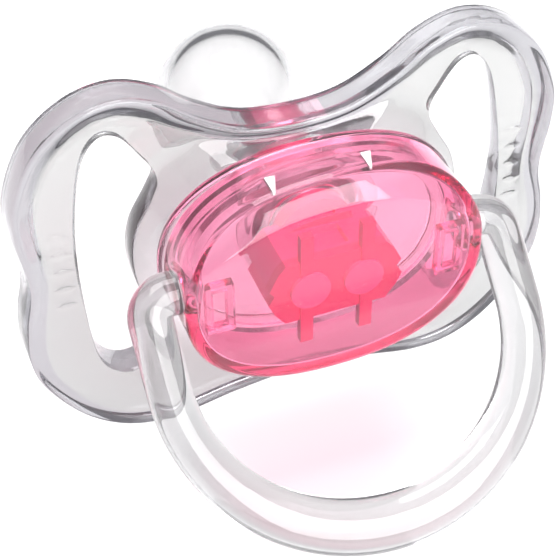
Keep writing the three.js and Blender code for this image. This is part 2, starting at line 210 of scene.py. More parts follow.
def make_object(name, points, faces):
    """A mesh object in the scene, from points in mm and faces as rows of point numbers."""
    mesh = bpy.data.meshes.new(name)
    mesh.from_pydata([tuple(p) for p in place(points)], [], [tuple(map(int, f)) for f in faces])
    mesh.update()
    piece = bpy.data.objects.new(name, mesh)
    bpy.context.scene.collection.objects.link(piece)
    return piece


def clean(piece, smooth_angle=38):
    """Merges doubled points, turns the faces outwards and shades smoothly up to an angle."""
    bm = bmesh.new()
    bm.from_mesh(piece.data)
    bmesh.ops.remove_doubles(bm, verts=bm.verts, dist=1e-7)
    bmesh.ops.dissolve_degenerate(bm, dist=1e-7, edges=bm.edges)
    bmesh.ops.recalc_face_normals(bm, faces=bm.faces)
    for face in bm.faces:
        face.smooth = True
    limit = math.radians(smooth_angle)
    for edge in bm.edges:
        edge.smooth = len(edge.link_faces) == 2 and edge.calc_face_angle(0) < limit
    bm.to_mesh(piece.data)
    bm.free()
    return piece


def apply_boolean(piece, others, operation):
    """The piece joined with the others ("UNION") or cut by them ("DIFFERENCE")."""
    for other in others:
        modifier = piece.modifiers.new(operation.lower(), "BOOLEAN")
        modifier.operation = operation
        modifier.solver = "EXACT"
        modifier.object = other
    graph = bpy.context.evaluated_depsgraph_get()
    result = bpy.data.meshes.new_from_object(piece.evaluated_get(graph))
    piece.modifiers.clear()
    piece.data = result
    for other in others:
        bpy.data.objects.remove(other)
    return piece


def rings_to_mesh(rings, wrap=False):
    """Rings of the same number of points joined by quads; a ring of one point is a pole."""
    points, starts = [], []
    for ring in rings:
        starts.append(len(points))
        points.extend(ring)
    faces = []
    pairs = list(zip(range(len(rings) - 1), range(1, len(rings))))
    if wrap:
        pairs.append((len(rings) - 1, 0))
    for a, b in pairs:
        na, nb = len(rings[a]), len(rings[b])
        if na == nb == 1:
            continue
        for i in range(max(na, nb)):
            j = (i + 1) % max(na, nb)
            if na == 1:
                faces.append((starts[a], starts[b] + i, starts[b] + j))
            elif nb == 1:
                faces.append((starts[a] + i, starts[b], starts[a] + j))
            else:
                faces.append((starts[a] + i, starts[b] + i, starts[b] + j, starts[a] + j))
    return points, faces


def full_turn(count):
    """Angles evenly spaced round a circle."""
    return np.linspace(0, 2 * math.pi, count, endpoint=False)


def cylinder(name, radius, start, end, count=48):
    """A round cutter, stub or post between two points."""
    start, end = np.asarray(start, float), np.asarray(end, float)
    turn = Vector(end - start).to_track_quat("Z", "Y").to_matrix()
    rings = []
    for base in (start, end):
        offsets = [turn @ Vector((radius * math.cos(t), radius * math.sin(t), 0))
                   for t in full_turn(count)]
        rings.append([tuple(base + np.array(offset)) for offset in offsets])
    points, faces = rings_to_mesh(rings)
    faces += [tuple(range(count))[::-1], tuple(range(count, 2 * count))]
    return clean(make_object(name, points, faces))


def box_piece(name, low, high):
    """A box between two corners."""
    (x0, y0, z0), (x1, y1, z1) = low, high
    points = [(x, y, z) for z in (z0, z1) for y in (y0, y1) for x in (x0, x1)]
    return clean(make_object(name, points, BOX_FACES))


def prism(name, loop, front, back):
    """A flat (x, z) outline run straight back from one depth to another."""
    n = len(loop)
    points = [(x, y, z) for y in (front, back) for x, z in loop]
    faces = [tuple(range(n)), tuple(range(2 * n - 1, n - 1, -1))]
    faces += [(i, (i + 1) % n, n + (i + 1) % n, n + i) for i in range(n)]
    return clean(make_object(name, points, faces))


# ------------------------------------------------------------------ curves and distances


def smoothstep(low, high, value):
    """0 up to low, 1 from high on, and a smooth rise between."""
    t = np.clip((value - low) / (high - low), 0, 1)
    return t * t * (3 - 2 * t)


def soft_ramp(t, corner):
    """A straight ramp from 0 to 1 with its two corners rounded."""
    low = np.clip(t + corner, 0, None)
    high = np.clip(t - 1 + corner, 0, None)
    bend_in = np.where(low < 2 * corner, low * low / (4 * corner), low - corner)
    bend_out = np.where(high < 2 * corner, high * high / (4 * corner), high - corner)
    return bend_in - bend_out


def spline_loop(knots, per_knot=24):
    """A smooth closed loop through the knots (Catmull-Rom)."""
    knots = np.asarray(knots, float)
    t = np.linspace(0, 1, per_knot, endpoint=False)[:, None]
    out = []
    for i in range(len(knots)):
        a, b, c, d = (knots[(i + k) % len(knots)] for k in (-1, 0, 1, 2))
        out.append(0.5 * (2 * b + (c - a) * t + (2 * a - 5 * b + 4 * c - d) * t**2
                          + (3 * b - a - 3 * c + d) * t**3))
    return np.vstack(out)


def even_loop(loop, count=None, pitch=None):
    """The same closed loop with its points evenly spaced: so many, or so far apart."""
    closed = np.vstack([loop, loop[:1]])
    run = np.concatenate([[0], np.cumsum(np.linalg.norm(np.diff(closed, axis=0), axis=1))])
    count = count or int(round(run[-1] / pitch))
    at = np.linspace(0, run[-1], count, endpoint=False)
    return np.column_stack([np.interp(at, run, side) for side in closed.T])


def even_oval(half_x, half_z, y, count):
    """A ring of points spread evenly along an oval at depth y."""
    c, s = np.cos(full_turn(8 * count)), np.sin(full_turn(8 * count))
    power = 2 / OVAL_POWER
    x = half_x * np.sign(c) * np.abs(c) ** power
    z = half_z * np.sign(s) * np.abs(s) ** power
    return even_loop(np.column_stack([x, np.full(len(x), y), z]), count)


def loop_normals(loop):
    """Unit vectors square to an (x, z) loop, outwards if it runs anticlockwise."""
    along = np.roll(loop, -1, axis=0) - np.roll(loop, 1, axis=0)
    along /= np.linalg.norm(along, axis=1)[:, None]
    return np.column_stack([along[:, 1], -along[:, 0]])


def outward_normals(loop, probe=0.05):
    """Unit vectors square to an (x, z) loop that point outwards whichever way it runs."""
    normal = loop_normals(loop)
    return -normal if inside(loop, loop + probe * normal).mean() > 0.5 else normal


def offset_oval(half, step, count):
    """An oval loop moved outwards along its own normals, by one step or by a step per point."""
    ring = even_oval(*half, 0, count)[:, [0, 2]]
    return ring + np.reshape(step, (-1, 1)) * loop_normals(ring)


def inside(loop, points):
    """Whether each (x, z) point is inside a closed loop."""
    x, z = points[:, 0], points[:, 1]
    found = np.zeros(len(points), bool)
    for (ax, az), (bx, bz) in zip(loop, np.roll(loop, -1, axis=0)):
        if az == bz:
            continue
        crosses = (az > z) != (bz > z)
        found ^= crosses & (x < ax + (z - az) * (bx - ax) / (bz - az))
    return found


def distance_to(loop, points):
    """Distance from each point to a closed loop."""
    best = np.full(len(points), np.inf)
    for start, step in zip(loop, np.roll(loop, -1, axis=0) - loop):
        t = np.clip(((points - start) @ step) / (step @ step), 0, 1)
        gap = points - start - t[:, None] * step
        best = np.minimum(best, np.hypot(gap[:, 0], gap[:, 1]))
    return best


def nearest_of(loops, points):
    """Distance from each point to the nearest of several loops."""
    return np.min([distance_to(loop, points) for loop in loops], axis=0)


def point_tree(points):
    """A search tree of (x, z) points."""
    tree = KDTree(len(points))
    for index, (x, z) in enumerate(points):
        tree.insert((x, z, 0), index)
    tree.balance()
    return tree


# ------------------------------------------------------------------ shield


def shield_outline():
    """The whole outline, with the left half as the mirror of the right."""
    left = [(-x, z) for x, z in SHIELD_HALF[1:-1]][::-1]
    return even_loop(spline_loop(SHIELD_HALF + left), pitch=OUTLINE_PITCH)


def shield_loops():
    """The outline, the two air openings and the hole for the teat's neck."""
    right = even_loop(spline_loop(CUTOUT), pitch=CUTOUT_PITCH)
    turn = full_turn(HOLE_POINTS)
    hole = (TEAT_NECK + GAP) * np.column_stack([np.cos(turn), np.sin(turn)])
    return [shield_outline(), right, right[::-1] * (-1, 1), hole + (0, TEAT_HEIGHT)]


def on_plate(loops, points):
    """Whether each point is inside the outline and outside every opening."""
    keep = inside(loops[0], points)
    for loop in loops[1:]:
        keep &= ~inside(loop, points)
    return keep


def edge_rows(loop, inward, steps, loops):
    """Staggered rows of points beside an edge, left out where another edge is nearer."""
    rows = []
    for k, step in enumerate(steps):
        row = loop + step * inward
        if k % 2:
            row = 0.5 * (row + np.roll(row, -1, axis=0))
        rows.append(row[nearest_of(loops, row) > ROW_CLEARANCE * step])
    return rows


def hub_rows(loops):
    """Rows of points round the hub's edge and down its skirt."""
    rows = []
    for step in HUB_ROWS:
        row = offset_oval(HUB_HALF, step, int(HUB_POINTS - HUB_POINTS_LESS * max(step, 0)))
        clear = distance_to(loops[0], row) > HUB_CLEAR_OF_OUTLINE
        clear &= nearest_of(loops[1:], row) > HUB_CLEAR_OF_OPENINGS
        rows.append(row[clear & on_plate(loops, row)])
    return rows


def rib_centres():
    """The middles of the ribs, as (x, z)."""
    rows = [RIB_PITCH * (k - (RIB_COUNT - 1) / 2) for k in range(RIB_COUNT)]
    return [(side * RIB_X, z) for side in (-1, 1) for z in rows]


def rib_rows():
    """Rings of points over each rib."""
    return [np.column_stack([x + level * RIB_HALF[0] * np.cos(full_turn(count)),
                             z + level * RIB_HALF[1] * np.sin(full_turn(count))])
            for x, z in rib_centres() for level, count in RIB_ROWS]


def grid_rows(loops, fine):
    """A triangular grid over the rest of the plate, clear of the rows of closer points."""
    pitch = GRID_PITCH
    xs = np.arange(GRID_LOW[0], GRID_HIGH[0], pitch)
    zs = np.arange(GRID_LOW[1], GRID_HIGH[1], pitch * math.sqrt(3) / 2)
    grid = np.array([(x + (pitch / 2 if j % 2 else 0), z) for j, z in enumerate(zs) for x in xs])
    grid = grid[on_plate(loops, grid)]
    clear = distance_to(loops[0], grid) > EDGE_ROWS[-1] + GRID_CLEAR_OF_OUTLINE
    clear &= nearest_of(loops[1:], grid) > OPENING_ROWS[-1] + GRID_CLEAR_OF_OPENINGS
    taken = point_tree(fine)
    clear &= np.array([taken.find((x, z, 0))[2] > GRID_CLEAR_OF_ROWS for x, z in grid])
    return grid[clear]


def plate_mesh(loops):
    """The shield's plan as flat (x, z) points and triangles, finest at its edges and its hub."""
    edges, start = [], 0
    for loop in loops:
        n = len(loop)
        edges += [(start + i, start + (i + 1) % n) for i in range(n)]
        start += n
    points = loops + edge_rows(loops[0], -outward_normals(loops[0]), EDGE_ROWS, loops)
    for loop in loops[1:]:
        points += edge_rows(loop, outward_normals(loop), OPENING_ROWS, loops)
    fine = hub_rows(loops) + rib_rows()
    points += fine + [grid_rows(loops, np.vstack(fine))]
    result = delaunay_2d_cdt([Vector(p) for p in np.vstack(points)], edges, [], 0, 1e-6)
    flat = np.array([tuple(v) for v in result[0]])
    triangles = np.array([f for f in result[2] if len(f) == 3])
    return flat, triangles[on_plate(loops, flat[triangles].mean(axis=1))]


def edge_round(distance, radius):
    """How far a rounded edge drops below the flat face at a distance from the edge."""
    t = np.clip(1 - distance / radius, 0, 1)
    return radius * (1 - np.sqrt(np.clip(1 - t * t, 0, 1)))


def hub_distance(points):
    """Signed distance from the hub's oval, about right near it; negative inside."""
    a, b = HUB_HALF
    u = np.abs(points[:, 0]) / a
    v = np.abs(points[:, 1]) / b
    level = np.maximum((u**OVAL_POWER + v**OVAL_POWER) ** (1 / OVAL_POWER), 1e-6)
    gx = (u ** (OVAL_POWER - 1)) * level ** (1 - OVAL_POWER) / a
    gz = (v ** (OVAL_POWER - 1)) * level ** (1 - OVAL_POWER) / b
    return (level - 1) / np.maximum(np.hypot(gx, gz), HUB_LEAST_SLOPE)


def rib_height(points):
    """The height of the short plain ribs that mark each lobe."""
    height = np.zeros(len(points))
    for x, z in rib_centres():
        level = np.hypot((points[:, 0] - x) / RIB_HALF[0], (points[:, 1] - z) / RIB_HALF[1])
        height = np.maximum(height, RIB_RISE * (1 - smoothstep(*RIB_EDGE, level)))
    return height


def front_depth(flat, to_outline):
    """How far back the front face lies: rim, lip, plate, ribs and the hub with its skirt."""
    lobe = LIP_MIDDLE + (1 - LIP_MIDDLE) * smoothstep(*LOBE_RANGE, np.abs(flat[:, 0]))
    depth = LIP_LOW + (LIP_HIGH - LIP_LOW) * smoothstep(*LIP_RANGE, flat[:, 1]) * lobe
    step = soft_ramp((to_outline - LIP_LAND) / (LIP_SLOPE * depth), LIP_CORNER)
    skirt = np.clip(1 - np.clip(hub_distance(flat), 0, None) / HUB_SKIRT, 0, 1) ** SKIRT_POWER
    hub = skirt * smoothstep(*HUB_EDGE, to_outline)
    return depth * step * (1 - hub) + HUB_FRONT * hub - rib_height(flat) * step


def make_shield():
    """The shield: front and back faces over one plan, with walls along its edges."""
    loops = shield_loops()
    outline, openings = loops[0], loops[1:]
    flat, triangles = plate_mesh(loops)
    to_outline = distance_to(outline, flat)
    drop = edge_round(to_outline, RIM_ROUND)
    for loop, radius in zip(openings, (CUTOUT_ROUND, CUTOUT_ROUND, RIM_ROUND)):
        drop = np.maximum(drop, edge_round(distance_to(loop, flat), radius))
    front = front_depth(flat, to_outline) + drop
    hollow = (RIM_BACK - PLATE_BACK) * smoothstep(*PLATE_BACK_RANGE, flat[:, 1])
    back = RIM_BACK - hollow * smoothstep(*PLATE_BACK_EDGE, to_outline) - drop
    flare = RIM_FLARE * np.clip(1 - to_outline / RIM_WIDTH, 0, 1) ** 2
    flare = flare * smoothstep(*FLARE_RANGE, flat[:, 1])
    normal, nearest = outward_normals(outline), point_tree(outline)
    outward = np.array([normal[nearest.find((x, z, 0))[1]] for x, z in flat])
    spread = flat + flare[:, None] * outward

    count = len(flat)
    points = np.vstack([np.column_stack([flat[:, 0], front, flat[:, 1]]),
                        np.column_stack([spread[:, 0], back, spread[:, 1]])])
    faces = [tuple(f) for f in triangles] + [tuple(f[::-1] + count) for f in triangles]
    used = {}
    for a, b, c in triangles:
        for edge in ((a, b), (b, c), (c, a)):
            key = tuple(sorted(edge))
            used[key] = used.get(key, 0) + 1
    faces += [(a, b, b + count, a + count) for (a, b), times in used.items() if times == 1]
    return mark_painted_light(clean(make_object("clear_shield", points, faces), 50))


def mark_painted_light(shield):
    """Marks each face of the rim in red, for painted shade, and of the wall in the notch in green,
    for painted pink that stands in for the pink knob seen through it, in a colour attribute that
    the shield's material reads."""
    centres = np.array([p.center for p in shield.data.polygons]) / MM - (0, FRONT_PLANE, 0)
    facing = np.array([p.normal.y for p in shield.data.polygons])
    near = distance_to(shield_outline(), centres[:, [0, 2]])
    wall = (np.abs(facing) < WALL_FACING) & (near < WALL_REACH)
    # the rim's wall and front band, which get painted shade
    rim = wall | ((facing < 0) & (near < RIM_WIDTH))
    # the wall in the nose notch, which gets painted pink for the pink knob seen through it
    left, right = NOTCH_PAINTED_PINK
    notch = wall & (centres[:, 0] > left) & (centres[:, 0] < right)
    notch &= centres[:, 2] > NOTCH_LOW
    marks = np.column_stack([rim & ~notch, notch, np.zeros(len(rim)), np.ones(len(rim))])
    layer = shield.data.attributes.new("painted_light_marks", "FLOAT_COLOR", "FACE")
    layer.data.foreach_set("color", marks.astype(np.float32).ravel())
    return shield


# ------------------------------------------------------------------ teat


def bulb_side(radius, neck):
    """(radius, y) points from the neck up the side of the bulb to the middle of its tip."""
    arc = [(radius * math.cos(t), BULB_CENTRE + radius * math.sin(t))
           for t in np.linspace(BULB_START, math.pi / 2, 40)]
    start, end = np.array([neck, NECK_END]), np.array(arc[0])
    near_start = start + (0, NECK_REACH)
    near_end = end - BULB_REACH * np.array([-math.sin(BULB_START), math.cos(BULB_START)])
    curve = [tuple((1 - t) ** 3 * start + 3 * (1 - t) ** 2 * t * near_start
                   + 3 * (1 - t) * t * t * near_end + t**3 * end)
             for t in np.linspace(0, 1, 18, endpoint=False)]
    return curve + arc


def make_teat():
    """The teat: a flange, a neck and a round bulb, turned about one axis."""
    bore = TEAT_NECK - TEAT_WALL
    outer = TEAT_FLANGE + [(TEAT_NECK, NECK_START)] + bulb_side(BULB_RADIUS, TEAT_NECK)
    inner = [(bore, TEAT_BACK), (bore, NECK_START)] + bulb_side(BULB_RADIUS - TEAT_WALL, bore)
    rings = []
    for r, y in outer + inner[::-1]:
        turn = full_turn(96) if r > 1e-6 else [0]
        rings.append([(r * math.cos(a), y, TEAT_HEIGHT + r * math.sin(a)) for a in turn])
    return clean(make_object("silicone_teat", *rings_to_mesh(rings, wrap=True)), 40)


# ------------------------------------------------------------------ knob


def edge_profile(arcs, steps=7):
    """The rounded edge from side wall to face as (inset, rise) points, one arc after another.
    Each arc is (degrees turned, radius); the turns add up to a right angle."""
    points, turned = [(0.0, 0.0)], 0.0
    for degrees, radius in arcs:
        turn = math.radians(degrees) / steps
        for _ in range(steps):
            inset, rise = points[-1]
            middle = turned + turn / 2
            points.append((inset + radius * turn * math.sin(middle),
                           rise + radius * turn * math.cos(middle)))
            turned += turn
    return points


def shell_rings(half, face, edge_top, edge_low, crown, count=224):
    """Rings from a shell's back edge round its front edge to the middle of its face. The edge
    is rounded one way along the top and another way along the sides and the bottom."""
    facing_up = loop_normals(even_oval(*half, 0, count)[:, [0, 2]])[:, 1]
    share = smoothstep(*EDGE_TOP_RANGE, facing_up)
    profile = [(share * top[0] + (1 - share) * low[0], share * top[1] + (1 - share) * low[1])
               for top, low in zip(edge_profile(edge_top), edge_profile(edge_low))]
    start = face + crown + profile[-1][1]

    def ring(inset, y):
        flat = offset_oval(half, -inset, count)
        return np.column_stack([flat[:, 0], y, flat[:, 1]])

    walls = [COVER_BACK + (start - COVER_BACK) * t for t in np.linspace(0, 1, 10)]
    rings = [ring(profile[0][0], y) for y in walls]
    rings += [ring(inset, start - rise) for inset, rise in profile[1:]]
    rim = rings[-1]
    return rings + [rim * (s, 0, s) + (0, face + crown * s * s, 0) for s in FACE_RINGS]


def hollow_out(rings, radius):
    """Pushes the side walls in to the ball-shaped hollows that take the ring's shoulders."""
    for ring in rings:
        rho2 = (ring[:, 1] - PIVOT_Y) ** 2 + (ring[:, 2] - PIVOT_Z) ** 2
        deep = SCOOP_X - np.sqrt(np.clip(radius**2 - rho2, 0, None))
        hit = (rho2 < radius**2) & (np.abs(ring[:, 0]) > deep)
        ring[hit, 0] = np.sign(ring[hit, 0]) * deep[hit]
    return rings


def make_socket(side):
    """One of the two rectangular sockets behind the cover's face."""
    x, (hx, hz), wall = side * SOCKET_X, SOCKET_HALF, SOCKET_WALL
    inner_face = COVER_FACE + FACE_WALL
    socket = box_piece("socket", (x - hx, inner_face - SOCKET_SINK, -hz),
                       (x + hx, SOCKET_BACK, hz))
    core = box_piece("core", (x - hx + wall, inner_face + SOCKET_FLOOR, -hz + wall),
                     (x + hx - wall, SOCKET_BACK + 1, hz - wall))
    return apply_boolean(socket, [core], "DIFFERENCE")


def make_cover():
    """The cover: a shell with two hollows for the ring's shoulders, pin holes and sockets."""
    outer = shell_rings(COVER_HALF, COVER_FACE, COVER_EDGE_TOP, COVER_EDGE_LOW, COVER_CROWN)
    inner_half = (COVER_HALF[0] - COVER_WALL, COVER_HALF[1] - COVER_WALL)
    inner_face = COVER_FACE + FACE_WALL
    inner = shell_rings(inner_half, inner_face, INNER_EDGE_TOP, INNER_EDGE_LOW, INNER_CROWN)
    rings = [list(map(tuple, ring)) for ring in hollow_out(outer, SCOOP_RADIUS)]
    rings += [[(0, COVER_FACE, 0)], [(0, inner_face, 0)]]
    rings += [list(map(tuple, r)) for r in hollow_out(inner, SCOOP_RADIUS + SCOOP_WALL)[::-1]]
    cover = clean(make_object("pink_cover", *rings_to_mesh(rings, wrap=True)))
    near, far = PIN_HOLE_ENDS
    sockets = [make_socket(side) for side in (-1, 1)]
    holes = [cylinder("pin_hole", PIN_HOLE_RADIUS, (side * near, PIVOT_Y, PIVOT_Z),
                      (side * far, PIVOT_Y, PIVOT_Z)) for side in (-1, 1)]
    cover = apply_boolean(cover, sockets, "UNION")
    cover = apply_boolean(cover, holes, "DIFFERENCE")
    return clean(cover, 32)


def make_catches():
    """Two small wedges on the cover's top wall, wide at the back and narrow at the front; their
    pale pink is a painted highlight.
    """
    points, faces = [], []
    for side in (-1, 1):
        x = side * CATCH_X + CATCH_SHIFT
        left = x - CATCH_WIDE / 2
        top = COVER_HALF[1] * (1 - (abs(x) / COVER_HALF[0]) ** OVAL_POWER) ** (1 / OVAL_POWER)
        faces += [tuple(len(points) + k for k in face) for face in BOX_FACES]
        for y, width in ((CATCH_BACK, CATCH_WIDE), (CATCH_FRONT, CATCH_NARROW)):
            for z in (top - CATCH_SINK, top + CATCH_RISE):
                points += [(left, y, z), (left + width, y, z)]
    return clean(make_object("cover_catches", points, faces))


def make_base(count=192):
    """The base: an oval flange with a wall inside the cover and a hole for the plug's stub."""
    a, b = BASE_HALF
    wall_a, wall_b = (side - COVER_WALL - GAP for side in COVER_HALF)
    hole = TEAT_NECK - TEAT_WALL

    def circle(y):
        return [(hole * math.cos(t), y, TEAT_HEIGHT + hole * math.sin(t))
                for t in full_turn(count)]

    def oval(inset, y):
        return even_oval(a - inset, b - inset, y, count)

    def wall(inset, y):
        return even_oval(wall_a - inset, wall_b - inset, y, count)

    quarter = [(BASE_EDGE * (1 - math.sin(t)), BASE_EDGE * (1 - math.cos(t)))
               for t in np.linspace(0, math.pi / 2, 5)]
    rings = [circle(BASE_BACK), oval(BASE_FACE_INSET, BASE_BACK)]
    rings += [oval(inset, BASE_BACK - rise) for inset, rise in quarter]
    rings += [oval(rise, BASE_FRONT + inset) for inset, rise in quarter]
    rings += [wall(0, BASE_FRONT), wall(0, BASE_WALL_FRONT + BASE_WALL_EDGE),
              wall(BASE_WALL_EDGE, BASE_WALL_FRONT), wall(BASE_WALL, BASE_WALL_FRONT),
              wall(BASE_WALL, BASE_FRONT), circle(BASE_FRONT)]
    rings = [list(map(tuple, ring)) for ring in rings]
    return clean(make_object("pink_base", *rings_to_mesh(rings, wrap=True)), 32)


def plug_outline():
    """The block's whole outline, with the left side as the mirror of the right."""
    return PLUG_SIDE + [(-x, z) for x, z in PLUG_SIDE[::-1]]


def make_plug():
    """The plug's front plate with its two ribs, and the stub that goes into the teat."""
    plate = prism("deep_pink_plug", plug_outline(), PLUG_FACE, PLUG_FACE + PLUG_PLATE)
    front, back = STUB_ENDS
    low, high = PLUG_RIB_ENDS
    parts = [cylinder("stub", STUB_RADIUS, (0, front, TEAT_HEIGHT), (0, back, TEAT_HEIGHT))]
    for x in (-PLUG_RIB_X, PLUG_RIB_X):
        parts.append(box_piece("rib", (x - PLUG_RIB_HALF, PLUG_FACE - PLUG_RIB_RISE, low),
                               (x + PLUG_RIB_HALF, PLUG_FACE + PLUG_RIB_SINK, high)))
    return clean(apply_boolean(plate, parts, "UNION"), 32)


def make_plug_body():
    """The plug's block behind its front plate, with a shallow pocket in its top."""
    front = PLUG_FACE + PLUG_PLATE
    body = prism("pink_plug_body", plug_outline(), front, PLUG_BACK)
    low, high = POCKET_ENDS
    pocket = box_piece("pocket", (-POCKET_HALF, front + POCKET_WALLS[0], low),
                       (POCKET_HALF, PLUG_BACK - POCKET_WALLS[1], high))
    return clean(apply_boolean(body, [pocket], "DIFFERENCE"), 32)


def make_bosses():
    """Two round posts that stand on the plug's plate, a little proud of it."""
    posts = [cylinder("plug_posts", BOSS_RADIUS, (x, PLUG_FACE - BOSS_RISE, BOSS_Z),
                      (x, PLUG_FACE + BOSS_SINK, BOSS_Z)) for x in (-BOSS_X, BOSS_X)]
    return clean(apply_boolean(posts[0], posts[1:], "UNION"), 32)


# ------------------------------------------------------------------ ring


def ring_route():
    """The band's centre line in its own plane as rows of (x, v, half width, direction), from
    one shoulder round the grip to the other."""
    arm = (RING_OUTER + RING_INNER) / 2
    half = (RING_OUTER - RING_INNER) / 2
    rows = [(x, 0.0, half, (1.0, 0.0))
            for x in np.linspace(SHOULDER_X, arm - RING_BEND, 4, endpoint=False)]
    rows += [(arm - RING_BEND + RING_BEND * math.sin(t), -RING_BEND + RING_BEND * math.cos(t),
              half, (math.cos(t), -math.sin(t)))
             for t in np.linspace(0, math.pi / 2, 12, endpoint=False)]
    rows += [(arm, v, half, (0.0, -1.0))
             for v in np.linspace(-RING_BEND, RING_ARC_START, 8, endpoint=False)]
    for t in np.linspace(0, math.pi / 2, 36):
        outer, inner = (
            np.array([reach * math.cos(t),
                      RING_ARC_START - (RING_ARC_START - bottom) * math.sin(t)])
            for reach, bottom in ((RING_OUTER, RING_OUTER_BOTTOM), (RING_INNER, RING_INNER_BOTTOM)))
        across = outer - inner
        direction = np.array([across[1], -across[0]]) / np.linalg.norm(across)
        rows.append((*(outer + inner) / 2, np.linalg.norm(across) / 2, tuple(direction)))
    return rows + [(-x, v, h, (tx, -tv)) for x, v, h, (tx, tv) in rows[:-1]][::-1]


def band_ring(x, v, half, direction, count=40):
    """The band's rounded section at one place on its centre line."""
    ring = []
    for t in full_turn(count):
        c, s = math.cos(t), math.sin(t)
        across = half * math.copysign(abs(c) ** (2 / RING_POWER), c)
        out = RING_THICK / 2 * math.copysign(abs(s) ** (2 / RING_POWER), s)
        ring.append((x - direction[1] * across, v + direction[0] * across, out))
    return np.array(ring)


def shoulder_rings(ring, step):
    """Rings that close one end of the band: its rounded shoulder and the pin that stands on it."""
    centre = ring.mean(axis=0)
    spoke = ring - centre
    pin = centre + spoke / np.linalg.norm(spoke[:, 1:], axis=1)[:, None] * PIN_RADIUS * (0, 1, 1)
    length = abs(centre[0]) - PIN_END
    tip = pin + (step * length, 0, 0)
    middle = tip.mean(axis=0)
    rings = [centre + spoke * size + (step * ahead, 0, 0) for size, ahead in SHOULDER_ROWS]
    rings += [pin + (step * ahead, 0, 0) for ahead in (PIN_START, length - PIN_TIP)]
    return rings + [middle + (tip - middle) * PIN_TIP_SIZE, middle[None]]


def make_ring():
    """The ring handle: a band from shoulder to shoulder, with a short pin at each end."""
    band = [band_ring(*row) for row in ring_route()]
    rings = shoulder_rings(band[0], -1)[:0:-1] + band + shoulder_rings(band[-1], 1)[1:]
    lean = math.pi / 2 - RING_TILT
    turned = [[(x, v * math.cos(lean) - w * math.sin(lean) + PIVOT_Y,
                v * math.sin(lean) + w * math.cos(lean) + PIVOT_Z) for x, v, w in ring]
              for ring in rings]
    return clean(make_object("clear_ring", *rings_to_mesh(turned)), 40)


# ------------------------------------------------------------------ materials


def add(tree, kind, **values):
    """A new node in a tree, with values for its inputs."""
    made = tree.nodes.new(kind)
    for name, value in values.items():
        made.inputs[name.replace("_", " ")].default_value = value
    return made


def mix_colours(tree, factor):
    """A colour mix node driven by a factor; its A and B are still to be set."""
    blend = add(tree, "ShaderNodeMix")
    blend.data_type = "RGBA"
    tree.links.new(factor, blend.inputs["Factor"])
    return blend


def painted_light_middle(tree, where, tinted, colour):
    """The tint faded to a much lighter one over the hub, behind the knob: painted light on the
    plate seen through the knob.
    """
    squash = add(tree, "ShaderNodeVectorMath")
    squash.operation = "MULTIPLY_ADD"
    squash.inputs[1].default_value = (1 / (MIDDLE_HALF[0] * MM), 0, 1 / (MIDDLE_HALF[1] * MM))
    squash.inputs[2].default_value = (0, 0, MIDDLE_DROP)
    tree.links.new(where, squash.inputs[0])
    reach = add(tree, "ShaderNodeVectorMath")
    reach.operation = "LENGTH"
    tree.links.new(squash.outputs["Vector"], reach.inputs[0])
    fade = add(tree, "ShaderNodeMapRange", From_Min=MIDDLE_FADE[0], From_Max=MIDDLE_FADE[1])
    tree.links.new(reach.outputs["Value"], fade.inputs["Value"])
    blend = mix_colours(tree, fade.outputs["Result"])
    blend.inputs["A"].default_value = (*colour, 1)
    tree.links.new(tinted, blend.inputs["B"])
    return blend.outputs["Result"]


def paint_light_on_faces(tree, tinted, colours):
    """The tint replaced by painted shade where the mesh marks its faces in red, and by painted
    pink, standing in for the pink knob seen through the wall, where it marks them in green.
    """
    marks = add(tree, "ShaderNodeAttribute")
    marks.attribute_name = "painted_light_marks"
    channels = add(tree, "ShaderNodeSeparateColor")
    tree.links.new(marks.outputs["Color"], channels.inputs["Color"])
    for channel, colour in zip(("Red", "Green"), colours):
        blend = mix_colours(tree, channels.outputs[channel])
        tree.links.new(tinted, blend.inputs["A"])
        blend.inputs["B"].default_value = (*colour, 1)
        tinted = blend.outputs["Result"]
    return tinted


